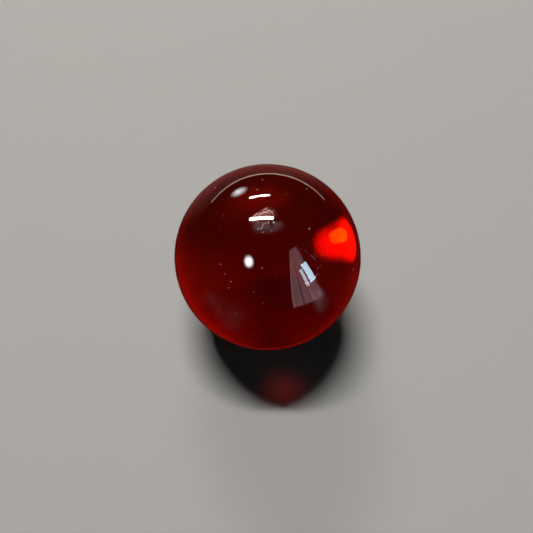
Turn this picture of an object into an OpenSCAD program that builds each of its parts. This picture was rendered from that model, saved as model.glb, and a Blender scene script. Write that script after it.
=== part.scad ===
// Solid acrylic ball.
// One cast and polished piece, round all over, with no flat, hole or parting line.
// The frame's origin is the centre of the ball, with +Z up.

/* [Ball] */
// Diameter of the ball, in millimetres
ball_d = 65; // [20:1:150]

/* [Hidden] */

// Deep ruby red, clear enough to let light through
ruby = [0.55, 0.02, 0.03, 0.85];

// Facets round the ball in a preview, while the solid itself is a true sphere
preview_facets = 128;

// The ball, centred on the origin
module ball() {
    color(ruby)
        sphere(d = ball_d, $fn = preview_facets);
}

ball();
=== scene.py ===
import math

import bmesh
import bpy
from mathutils import Matrix, Vector


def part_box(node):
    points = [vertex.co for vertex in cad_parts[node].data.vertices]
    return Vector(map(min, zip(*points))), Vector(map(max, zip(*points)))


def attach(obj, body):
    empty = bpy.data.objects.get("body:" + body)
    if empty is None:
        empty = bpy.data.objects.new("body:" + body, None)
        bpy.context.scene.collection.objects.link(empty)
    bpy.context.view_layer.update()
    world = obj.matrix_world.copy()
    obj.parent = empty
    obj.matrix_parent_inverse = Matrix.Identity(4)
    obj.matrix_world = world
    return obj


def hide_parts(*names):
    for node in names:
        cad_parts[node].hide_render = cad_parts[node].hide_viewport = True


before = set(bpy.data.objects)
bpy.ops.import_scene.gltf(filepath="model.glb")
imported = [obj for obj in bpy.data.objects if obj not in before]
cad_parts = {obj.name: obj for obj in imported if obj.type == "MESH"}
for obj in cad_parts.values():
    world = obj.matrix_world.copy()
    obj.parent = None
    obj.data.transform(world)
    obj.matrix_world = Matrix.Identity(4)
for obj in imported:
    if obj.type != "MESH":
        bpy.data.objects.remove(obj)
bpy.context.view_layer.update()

# ---------------------------------------------------------------- sizes
low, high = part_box("ball")
RADIUS = (high.z - low.z) / 2
MILLIMETRE = 0.001
FLOOR_Z = low.z
FLOOR_RADIUS = 4.0
# The floor fades into the backdrop between these distances from its middle
FLOOR_FADE_START = 0.2
FLOOR_FADE_END = 0.5
# The dark sheet that paints the ball's reflections starts thinly under the ball and is whole a little
# outside it
REFLECTION_SHEET_START = 1.05 * RADIUS
REFLECTION_SHEET_WHOLE = 1.5 * RADIUS
REFLECTION_SHEET_RADIUS = 0.98 * FLOOR_RADIUS
REFLECTION_SHEET_LIFT = 0.1 * MILLIMETRE

# The camera looks along +Y and down, from a few radii away
VIEW_ELEVATION = math.radians(65)
VIEW_DISTANCE = 5.8 * RADIUS
IMAGE_PIXELS = 533
FOCAL_PIXELS = 532.5
SENSOR_MM = 36
# How far right and up of the picture's middle the ball's centre stands
CENTRE_PIXELS = (1.1, 9.1)

TO_CAMERA = Vector((0, -math.cos(VIEW_ELEVATION), math.sin(VIEW_ELEVATION)))
PICTURE_UP = Vector((0, math.sin(VIEW_ELEVATION), math.cos(VIEW_ELEVATION)))
PICTURE_RIGHT = Vector((1, 0, 0))
CAMERA_PLACE = TO_CAMERA * VIEW_DISTANCE
CENTRE = Vector((0, 0, 0))
DOWN = Vector((0, 0, -1))


# ---------------------------------------------------------------- spots on the ball
# A spot is given as the main camera sees it: right and up of the ball's middle, in radii of its outline.
def sight(right, up):
    """The direction in which the camera sees a spot."""
    outline = math.tan(math.asin(RADIUS / VIEW_DISTANCE))
    return ((PICTURE_RIGHT * right + PICTURE_UP * up) * outline - TO_CAMERA).normalized()


def surface(right, up):
    """The place of a spot on the ball's surface."""
    look = sight(right, up)
    middle = -look.dot(CAMERA_PLACE)
    half_chord = math.sqrt(RADIUS ** 2 - CAMERA_PLACE.length_squared + middle ** 2)
    return CAMERA_PLACE + look * (middle - half_chord)


def mirrored(right, up):
    """The direction that the ball mirrors to the camera at a spot."""
    return sight(right, up).reflect(surface(right, up).normalized())


def floor_place(right, up, height):
    """The place at this height over the floor that the camera sees at a spot."""
    look = sight(right, up)
    return CAMERA_PLACE + look * ((FLOOR_Z + height - CAMERA_PLACE.z) / look.z)


def mirror_place(right, up, distance):
    """The place at this distance from a spot that the ball mirrors there."""
    return surface(right, up) + mirrored(right, up) * distance


# ---------------------------------------------------------------- shader maths
class Sock:
    """A node's output on which Python arithmetic adds Math nodes."""

    def __init__(self, tree, out):
        self.tree = tree
        self.out = out

    def math(self, operation, *values):
        return node(self.tree, "ShaderNodeMath", {"operation": operation}, dict(enumerate((self, *values))))

    def vector(self, operation, other=(0, 0, 0), output="Vector"):
        settings = {"operation": operation}
        return node(self.tree, "ShaderNodeVectorMath", settings, {0: self, 1: other}, output)

    def __add__(self, other):
        return self.math("ADD", other)

    __radd__ = __add__

    def __sub__(self, other):
        return self.math("SUBTRACT", other)

    def __rsub__(self, other):
        return self.math("MULTIPLY_ADD", -1.0, other)

    def __mul__(self, other):
        return self.math("MULTIPLY", other)

    __rmul__ = __mul__

    def __truediv__(self, other):
        return self.math("DIVIDE", other)

    def __rtruediv__(self, other):
        return node(self.tree, "ShaderNodeMath", {"operation": "DIVIDE"}, {0: other, 1: self})

    def smooth(self, start, end):
        """0 at start, 1 at end, and a smooth rise or fall between them."""
        inputs = {"Value": self, "From Min": start, "From Max": end}
        return node(self.tree, "ShaderNodeMapRange", {"interpolation_type": "SMOOTHSTEP"}, inputs)


def mix(tree, share, first, second):
    """The first colour where share is 0 and the second where it is 1."""
    return node(tree, "ShaderNodeMix", {"data_type": "RGBA"}, {0: share, 6: (*first, 1), 7: (*second, 1)}, 2)


def node(tree, kind, settings=None, inputs=None, output=0):
    """Adds a node: its settings first, then the values and links of its inputs."""
    made = tree.nodes.new(kind)
    for name, value in (settings or {}).items():
        setattr(made, name, value)
    for name, value in (inputs or {}).items():
        if isinstance(value, Sock):
            tree.links.new(value.out, made.inputs[name])
        else:
            made.inputs[name].default_value = value
    return Sock(tree, made.outputs[output] if len(made.outputs) else None)


def empty_tree(owner):
    """The node tree of a material, lamp or world, with nothing in it."""
    owner.use_nodes = True
    owner.node_tree.nodes.clear()
    return owner.node_tree


# ---------------------------------------------------------------- wear
# Places are spots, as right and up; sizes are in millimetres.
# Dust specks: place and radius
SPECKS = (
    ((0.063, 0.377), 0.30), ((-0.047, 0.273), 0.22), ((-0.103, 0.305), 0.20), ((0.004, 0.370), 0.20),
    ((-0.566, 0.746), 0.30), ((-0.114, 0.725), 0.25), ((-0.060, 0.832), 0.30), ((0.413, 0.735), 0.30),
    ((0.445, 0.311), 0.35), ((-0.060, -0.114), 0.22), ((-0.146, -0.372), 0.22), ((-0.458, -0.178), 0.25),
    ((-0.394, -0.261), 0.25), ((-0.505, -0.076), 0.25), ((-0.415, -0.329), 0.22), ((0.918, -0.125), 0.30),
)
# Hairline scratches: both ends and width
HAIRLINES = (
    ((-0.146, 0.449), (-0.006, 0.531), 0.15),
    ((-0.092, 0.461), (0.026, 0.510), 0.13),
    ((-0.060, 0.477), (0.058, 0.494), 0.10),
    ((-0.052, 0.370), (-0.055, 0.325), 0.10),
)
# How strongly a scratch shows, where a dust speck is 1
SCRATCH_STRENGTH = 0.7
# Greasy smudges: both ends, width and strength
SMUDGES = (
    ((-0.090, 0.340), (0.010, 0.330), 3.0, 0.25),
    ((0.080, 0.338), (0.123, 0.338), 2.2, 0.25),
    ((0.540, -0.400), (0.590, -0.520), 3.6, 0.40),
    ((-0.580, -0.500), (-0.380, -0.640), 6.5, 0.40),
)
# Fine rings of polishing scratches round the spots where the near tube and the window pane are mirrored,
# partly painted glints of scratches catching those lamps: middle, inner radius, outer radius and spacing
SCRATCH_GLINT_RINGS = (
    ((0.400, -0.120), 4.5, 12.0, 1.0),
    ((-0.060, 0.400), 2.0, 8.0, 0.9),
)
# Grains of dust: how many in a metre, and the outer and inner radius as shares of the space for each
FINE_GRAINS = (260, 0.045, 0.03)
CLOSE_GRAINS = (900, 0.18, 0.08)
# The stroke that holds the close grains: both ends and width
SPRINKLE = ((-0.070, 0.325), (0.030, 0.325), 2.8)
FINGERPRINT = (-0.40, -0.75)
FINGERPRINT_RADIUS = 4.5 * MILLIMETRE
RIDGE_SPACING = 1.1 * MILLIMETRE
RIDGE_WOBBLE = 2.5 * MILLIMETRE
GREASE_THICKNESS = 0.02 * MILLIMETRE


def from_spot(place, spot):
    """How far a place on the ball is from a spot."""
    return place.vector("DISTANCE", surface(*spot), "Value")


def stroke(place, start, end, width):
    """1 along a straight stroke between two spots, falling softly to 0 at its width in millimetres."""
    first = surface(*start)
    way = surface(*end) - first
    share = place.vector("SUBTRACT", first).vector("DOT_PRODUCT", way / way.length_squared, "Value")
    share = node(place.tree, "ShaderNodeClamp", {}, {"Value": share})
    settings = {"operation": "MULTIPLY_ADD"}
    nearest = node(place.tree, "ShaderNodeVectorMath", settings, {0: way, 1: share, 2: first})
    return place.vector("DISTANCE", nearest, "Value").smooth(width * MILLIMETRE, 0)


def grains(place, per_metre, outer, inner):
    """1 on grains that are spread all over the ball: whole to the inner radius, and gone at the outer."""
    cells = node(place.tree, "ShaderNodeTexVoronoi", {}, {"Vector": place, "Scale": per_metre}, "Distance")
    return cells.smooth(outer, inner)


def scratch_glint_rings(place):
    """Fine rings of scratches that fade outwards round the mirrored lamp spots: partly painted glints."""
    bend = node(place.tree, "ShaderNodeTexNoise", {}, {"Vector": place, "Scale": 120, "Detail": 1})
    worn = node(place.tree, "ShaderNodeTexNoise", {}, {"Vector": place, "Scale": 260, "Detail": 2})
    mask = 0.0
    for spot, inner, outer, spacing in SCRATCH_GLINT_RINGS:
        reach = from_spot(place, spot)
        waves = (reach + bend * 2 * MILLIMETRE) * (2 * math.pi / (spacing * MILLIMETRE))
        rings = waves.math("SINE").smooth(0.8, 1.0)
        outside = reach.smooth(inner * MILLIMETRE * 0.7, inner * MILLIMETRE)
        mask = rings * outside * reach.smooth(outer * MILLIMETRE, 0) + mask
    return mask * worn.smooth(0.4, 0.65)


def dust_scratches_and_glints(place):
    """1 on dust specks, hairline scratches and the scratch rings, which are partly painted glints."""
    sprinkle = grains(place, *CLOSE_GRAINS) * stroke(place, *SPRINKLE).smooth(0, 0.6)
    mask = grains(place, *FINE_GRAINS).math("MAXIMUM", sprinkle)
    for spot, radius in SPECKS:
        speck = from_spot(place, spot).smooth(radius * MILLIMETRE, radius * MILLIMETRE * 0.5)
        mask = mask.math("MAXIMUM", speck)
    for start, end, width in HAIRLINES:
        mask = mask.math("MAXIMUM", stroke(place, start, end, width) * SCRATCH_STRENGTH)
    # the scratch rings are partly painted glints round the mirrored lamp spots
    return mask.math("MAXIMUM", scratch_glint_rings(place) * SCRATCH_STRENGTH)


def grease(place):
    """The strength of the greasy smudges and of the fingerprint."""
    cloud = node(place.tree, "ShaderNodeTexNoise", {}, {"Vector": place, "Scale": 500, "Detail": 3})
    smudges = 0.0
    for start, end, width, strength in SMUDGES:
        smudges = stroke(place, start, end, width) * strength + smudges
    reach = from_spot(place, FINGERPRINT)
    wobble = node(place.tree, "ShaderNodeTexNoise", {}, {"Vector": place, "Scale": 300, "Detail": 1})
    waves = (reach + wobble * RIDGE_WOBBLE) * (2 * math.pi / RIDGE_SPACING)
    touched = reach.smooth(FINGERPRINT_RADIUS, FINGERPRINT_RADIUS * 0.3)
    ridges = waves.math("SINE").smooth(-0.2, 0.8) * touched
    return smudges * cloud.smooth(0.25, 0.65) + ridges * cloud.smooth(0.2, 0.5)


# ---------------------------------------------------------------- materials
# Share of each colour that is left after light crosses the whole ball
ACROSS = (0.44, 0.07, 0.015)
RUBY = (0.9, 0.09, 0.06)
# pale colour of dust and scratches, also used for the painted glints of the scratch rings
DUST_AND_GLINT = (0.8, 0.74, 0.68)
FLOOR = (0.42, 0.405, 0.385)
BACKDROP = (0.42, 0.405, 0.386)
# a sheet that only the ball's gloss sees: black is painted dark reflection, brown a painted reflection of a
# lit far edge
PAINTED_DARK_REFLECTION = (0.004, 0.004, 0.004)
PAINTED_FAR_EDGE_REFLECTION = (0.11, 0.085, 0.075)


def ruby_acrylic():
    material = bpy.data.materials.new("ruby_acrylic")
    tree = empty_tree(material)
    place = node(tree, "ShaderNodeTexCoord", {}, {}, "Object")
    marks_and_glints = dust_scratches_and_glints(place)
    film = grease(place)
    relief = node(tree, "ShaderNodeBump", {}, {"Distance": GREASE_THICKNESS, "Height": film})
    shell = node(tree, "ShaderNodeBsdfPrincipled", {}, {
        # pale where there is dust, scratches and the rings of painted glints round mirrored lamp spots
        "Base Color": mix(tree, marks_and_glints, RUBY, DUST_AND_GLINT),
        "Metallic": marks_and_glints * 0.4,
        "Roughness": marks_and_glints * 0.8,
        "IOR": 1.49,
        "Transmission Weight": 1.0,
        "Coat Weight": film,
        "Coat Roughness": 0.65,
        "Coat IOR": 2.2,
        "Normal": relief,
    })
    # what each colour loses per metre; the node takes the highest and each colour's share of it
    losses = [-math.log(left) / (2 * RADIUS) for left in ACROSS]
    density = max(losses)
    inside = node(tree, "ShaderNodeVolumeAbsorption", {}, {
        "Color": (*(1 - loss / density for loss in losses), 1),
        "Density": density,
    })
    node(tree, "ShaderNodeOutputMaterial", {}, {"Surface": shell, "Volume": inside})
    return material


def pale_floor():
    """Pale paint that fades into the backdrop far from the ball."""
    material = bpy.data.materials.new("pale_floor")
    tree = empty_tree(material)
    reach = node(tree, "ShaderNodeTexCoord", {}, {}, "Object").vector("LENGTH", output="Value")
    paint = node(tree, "ShaderNodeBsdfPrincipled", {}, {
        "Base Color": (*FLOOR, 1),
        "Roughness": 0.8,
        "Specular IOR Level": 0.2,
        "Alpha": reach.smooth(FLOOR_FADE_END, FLOOR_FADE_START),
    })
    node(tree, "ShaderNodeOutputMaterial", {}, {"Surface": paint})
    return material


def dark_reflection_sheet():
    """A black sheet of painted dark reflection, brown on the far side as a painted reflection of a lit far
    edge; it starts thinly round the ball.
    """
    material = bpy.data.materials.new("dark_reflection_sheet")
    tree = empty_tree(material)
    place = node(tree, "ShaderNodeTexCoord", {}, {}, "Object")
    far_side = place.vector("NORMALIZE").vector("DOT_PRODUCT", (-0.2, 0.98, 0), "Value")
    reflection_paint = node(tree, "ShaderNodeBsdfPrincipled", {}, {
        # painted dark reflection, with a painted reflection of a lit far edge on the far side
        "Base Color": mix(tree, far_side.smooth(0.6, 0.95), PAINTED_DARK_REFLECTION, PAINTED_FAR_EDGE_REFLECTION),
        "Roughness": 1.0,
        "Specular IOR Level": 0.0,
        "Alpha": place.vector("LENGTH", output="Value").smooth(REFLECTION_SHEET_START, REFLECTION_SHEET_WHOLE),
    })
    node(tree, "ShaderNodeOutputMaterial", {}, {"Surface": reflection_paint})
    return material


# ---------------------------------------------------------------- pieces
def link(name, data):
    made = bpy.data.objects.new(name, data)
    bpy.context.scene.collection.objects.link(made)
    return made


def mesh_object(name, bm, material):
    """The finished piece; bm is used up."""
    mesh = bpy.data.meshes.new(name)
    bm.to_mesh(mesh)
    bm.free()
    mesh.materials.append(material)
    return link(name, mesh)


def make_ball():
    bm = bmesh.new()
    bmesh.ops.create_icosphere(bm, subdivisions=7, radius=RADIUS)
    for face in bm.faces:
        face.smooth = True
    ball = mesh_object("acrylic_ball", bm, ruby_acrylic())
    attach(ball, "root")
    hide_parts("ball")


def make_disc(name, radius, height, material):
    bm = bmesh.new()
    bmesh.ops.create_circle(bm, cap_ends=True, segments=96, radius=radius)
    bmesh.ops.translate(bm, verts=bm.verts, vec=(0, 0, height))
    disc = mesh_object(name, bm, material)
    return disc


def make_floor():
    make_disc("floor", FLOOR_RADIUS, FLOOR_Z, pale_floor())


def make_reflection_sheet():
    """A sheet that only the gloss of the ball sees: painted dark reflection, which keeps the ball's rim
    deep.
    """
    reflection_sheet = make_disc("reflection_sheet", REFLECTION_SHEET_RADIUS, FLOOR_Z + REFLECTION_SHEET_LIFT, dark_reflection_sheet())
    reflection_sheet.visible_camera = False
    reflection_sheet.visible_diffuse = False
    reflection_sheet.visible_transmission = False
    reflection_sheet.visible_shadow = False


# ---------------------------------------------------------------- light
# What a lamp lights
FLOOR_AND_GLOSS = "the floor and the gloss of the ball"
GLOSS = "the gloss of the ball"
INSIDE = "the inside of the ball"
FLOOR_ONLY = "the floor"

# Lamps stand close to the ball or far from it
CLOSE = 2.5 * RADIUS
BEHIND = 2.75 * RADIUS
FAR = 2.5
# How strongly the light gathered on the floor is seen inside the ball
KEPT_INSIDE = 0.9

# The curtain's sideways bow, and its width at the rail as a share of that at the hem
CURTAIN_BOW = 0.25
RAIL_WIDTH = 0.24
# Its pleats are a wave that a slower wave makes uneven, in radians from the middle to a side
PLEAT_WAVE = 27
PLEAT_SLOW_WAVE = 11
PLEAT_UNEVENNESS = 1.5
PLEAT_DEPTH = 0.3

# The glow inside the ball comes from a long lamp, with a smaller one for its core a little in front.
# Each stands at its angle to the way to the camera, on the glow's side. The long lamp's rise and both
# lengths are shares of the lamp's distance.
GLOW_SIDE = (-0.956 * PICTURE_RIGHT - 0.292 * PICTURE_UP).normalized()
GLOW_UP = GLOW_SIDE.cross(TO_CAMERA)
GLOW_ANGLE = math.radians(30.6)
GLOW_RISE = 0.038
GLOW_LENGTH = 0.33
GLOW_WIDTH = 0.28 * FAR
CORE_ANGLE = math.radians(31.9)
CORE_DISTANCE = 0.98 * FAR
CORE_LENGTH = 0.11
CORE_WIDTH = 0.045 * FAR

# The red spot near the end of the ball's shadow, and the height of the lamp over it
RED_SPOT = (0.187, -1.42)
RED_SPOT_LENGTH = 24 * MILLIMETRE
RED_SPOT_WIDTH = 20 * MILLIMETRE
RED_SPOT_HEIGHT = 1.5 * MILLIMETRE

# How bright the room is, as shares of the backdrop
LEFT_CEILING = 5.6
RIGHT_CEILING = 13
NEAR_CEILING = 4.8
WALL = 0.83
ROOM = 0.19
DARK_ROOM = 0.02


def oval(fade):
    """A lamp face that is brightest in the middle and fades over the outer share of its radius."""
    def face(along, across):
        radius = (along * along + across * across).math("SQRT")
        return radius.smooth(1.0, 1.0 - fade)
    return face


def tube(along, across):
    """A lamp face that is soft along its sides and at its ends."""
    ends = along.math("ABSOLUTE").smooth(1.0, 0.86)
    return ends * across.math("ABSOLUTE").smooth(1.0, 0.2)


def curtain(along, across):
    """A drawn curtain: its pleats fan out from the rail."""
    drop = (along * 0.5 + 0.5).math("MAXIMUM", 0.0)
    bow = drop * (1 - drop) * 4
    fan = (across + bow * CURTAIN_BOW) / (drop * (1 - RAIL_WIDTH) + RAIL_WIDTH)
    sides = fan.math("ABSOLUTE").smooth(1.0, 0.9)
    ends = along.math("ABSOLUTE").smooth(1.0, 0.92)
    pleats = (fan * PLEAT_SLOW_WAVE).math("SINE") * PLEAT_UNEVENNESS + fan * PLEAT_WAVE
    return sides * ends * (pleats.math("SINE") * PLEAT_DEPTH + (1 - PLEAT_DEPTH))


def share_lit(tree, lights):
    """The share of a lamp's light that goes to what it lights, from how the light has travelled."""
    if lights == FLOOR_ONLY:
        return 1.0
    scattered = node(tree, "ShaderNodeLightPath", {}, {}, "Diffuse Depth").math("GREATER_THAN", 0.5)
    crossings = node(tree, "ShaderNodeLightPath", {}, {}, "Transmission Depth")
    bent = crossings.math("GREATER_THAN", 0.5)
    if lights == INSIDE:
        return (1 - scattered) * bent
    if lights == GLOSS:
        return 1 - scattered
    # the light that the ball gathers on the floor is left out, but most of it stays inside the ball
    gathered = bent - crossings.math("GREATER_THAN", 2.5) * KEPT_INSIDE
    return 1 - scattered * gathered


def lamp(name, start, end, width, level, lights, color=(1, 1, 1), face=None, target=CENTRE):
    """An area lamp that faces its target, which is the ball's centre unless another is given.

    start and end are the places of its two ends, and width is its size across. level is its brightness,
    where 1 is white, lights is what it lights, and face shades it.
    """
    middle = (start + end) / 2
    along = (end - start).normalized()
    back = middle - target
    facing = (back - along * back.dot(along)).normalized()
    data = bpy.data.lights.new(name, "AREA")
    data.shape = "RECTANGLE"
    data.size = (end - start).length
    data.size_y = width
    data.energy = level * math.pi * data.size * data.size_y
    data.color = color
    tree = empty_tree(data)
    strength = share_lit(tree, lights)
    if face:
        place = node(tree, "ShaderNodeNewGeometry", {}, {}, "Parametric")
        x = place.vector("DOT_PRODUCT", (2, 0, 0), "Value") - 1
        y = place.vector("DOT_PRODUCT", (0, 2, 0), "Value") - 1
        strength = strength * face(x, y)
    glow = node(tree, "ShaderNodeEmission", {}, {"Strength": strength})
    node(tree, "ShaderNodeOutputLight", {}, {"Surface": glow})
    made = link(name, data)
    turned = Matrix((along, facing.cross(along), facing)).transposed()
    made.matrix_world = Matrix.Translation(middle) @ turned.to_4x4()
    made.visible_camera = False
    made.visible_diffuse = lights in (FLOOR_ONLY, FLOOR_AND_GLOSS)
    made.visible_glossy = lights in (GLOSS, FLOOR_AND_GLOSS)
    made.visible_transmission = lights == INSIDE


def mirrored_lamp(name, start, end, distance, width, level, lights, color=(1, 1, 1), face=None):
    """A lamp that the ball mirrors between two spots; width is a share of its distance."""
    first = mirror_place(*start, distance)
    second = mirror_place(*end, distance)
    lamp(name, first, second, width * distance, level, lights, color, face)


def glow_place(angle, rise, distance):
    """The place at this distance that the ball's inside shows as its glow."""
    way = TO_CAMERA * math.cos(angle) + GLOW_SIDE * math.sin(angle) + GLOW_UP * rise
    return way * distance


def make_lamps():
    mirrored_lamp("tube_near", (-0.202, 0.404), (0.065, 0.422), FAR, width=0.085, level=126,
                  lights=FLOOR_AND_GLOSS, face=tube)
    mirrored_lamp("tube_far", (-0.208, 0.632), (0.026, 0.666), FAR, width=0.068, level=64,
                  lights=FLOOR_AND_GLOSS, color=(1, 0.98, 0.9), face=tube)
    mirrored_lamp("desk_lamp", (-0.214, 0.036), (-0.188, -0.128), CLOSE, width=0.28, level=36,
                  lights=GLOSS, face=oval(0.9))
    mirrored_lamp("soft_spot", (-0.40, 0.635), (-0.21, 0.755), CLOSE, width=0.32, level=12,
                  lights=GLOSS, face=oval(1.0))
    mirrored_lamp("wide_pane", (0.381, -0.06), (0.492, -0.248), CLOSE, width=0.14, level=18,
                  lights=GLOSS, color=(0.5, 0.83, 1))
    mirrored_lamp("narrow_pane", (0.351, -0.132), (0.438, -0.3), CLOSE, width=0.07, level=11,
                  lights=GLOSS, color=(0.7, 0.88, 1))
    mirrored_lamp("curtain", (0.266, 0.106), (0.46, -0.49), BEHIND, width=0.76, level=2.3,
                  lights=GLOSS, color=(1, 0.68, 0.74), face=curtain)
    mirrored_lamp("far_edge", (-0.605, 0.583), (0.605, 0.62), CLOSE, width=0.032, level=3,
                  lights=GLOSS, color=(1, 0.8, 0.65))

    low_end = glow_place(GLOW_ANGLE, GLOW_RISE - GLOW_LENGTH / 2, FAR)
    high_end = glow_place(GLOW_ANGLE, GLOW_RISE + GLOW_LENGTH / 2, FAR)
    lamp("desk_glow", low_end, high_end, width=GLOW_WIDTH, level=110,
         lights=INSIDE, color=(1, 0.3, 0.3), face=oval(0.7))
    # green-yellow light turns orange inside the ruby ball
    low_end = glow_place(CORE_ANGLE, -CORE_LENGTH / 2, CORE_DISTANCE)
    high_end = glow_place(CORE_ANGLE, CORE_LENGTH / 2, CORE_DISTANCE)
    lamp("desk_core", low_end, high_end, width=CORE_WIDTH, level=5000,
         lights=INSIDE, color=(0.1, 1, 0.05), face=oval(0.5))

    # the red light that the ball gathers on the floor comes from a lamp close over it
    spot = floor_place(*RED_SPOT, RED_SPOT_HEIGHT)
    half = PICTURE_RIGHT * RED_SPOT_LENGTH / 2
    lamp("red_spot", spot - half, spot + half, width=RED_SPOT_WIDTH, level=0.14,
         lights=FLOOR_ONLY, color=(1, 0.03, 0.02), face=oval(1.0), target=spot + DOWN)


def make_world():
    """The room: the camera sees a pale backdrop, and the inside of the ball a lit ceiling and wall.

    The gloss of the ball sees a dark room, because a pale one would turn its deep red grey.
    """
    world = bpy.data.worlds.new("studio")
    bpy.context.scene.world = world
    tree = empty_tree(world)
    way = node(tree, "ShaderNodeTexCoord", {}, {}, "Generated")

    def patch(x, y, z):
        """A soft patch of ceiling in this direction."""
        return way.vector("DOT_PRODUCT", Vector((x, y, z)).normalized(), "Value").smooth(0.85, 1.0)

    ceiling = patch(-0.5, 0, 0.87) * LEFT_CEILING + patch(0.5, 0, 0.87) * RIGHT_CEILING
    ceiling = ceiling + patch(0, -0.5, 0.87) * NEAR_CEILING
    wall = way.vector("DOT_PRODUCT", (0, 0, 1), "Value").smooth(0.6, 0.1) * WALL
    inside = node(tree, "ShaderNodeLightPath", {}, {}, "Is Transmission Ray")
    first = node(tree, "ShaderNodeLightPath", {}, {}, "Diffuse Depth").math("LESS_THAN", 0.5)
    seen = node(tree, "ShaderNodeLightPath", {}, {}, "Is Camera Ray")
    level = (ceiling + wall + ROOM) * inside * first + seen + DARK_ROOM
    sky = node(tree, "ShaderNodeBackground", {}, {"Color": (*BACKDROP, 1), "Strength": level})
    node(tree, "ShaderNodeOutputWorld", {}, {"Surface": sky})


# ---------------------------------------------------------------- camera
def make_camera():
    data = bpy.data.cameras.new("camera")
    data.sensor_width = SENSOR_MM
    data.lens = FOCAL_PIXELS / IMAGE_PIXELS * SENSOR_MM
    data.clip_start = 0.01
    data.clip_end = 20
    camera = link("camera", data)
    # aim beside the ball's centre, which brings it to its place in the picture
    per_pixel = VIEW_DISTANCE / FOCAL_PIXELS
    aim = -(PICTURE_RIGHT * CENTRE_PIXELS[0] + PICTURE_UP * CENTRE_PIXELS[1]) * per_pixel
    camera.location = CAMERA_PLACE
    camera.rotation_mode = "QUATERNION"
    camera.rotation_quaternion = (aim - CAMERA_PLACE).to_track_quat("-Z", "Y")
    bpy.context.scene.camera = camera


make_ball()
make_floor()
make_reflection_sheet()
make_lamps()
make_world()
make_camera()
bpy.context.scene.view_settings.view_transform = "Standard"
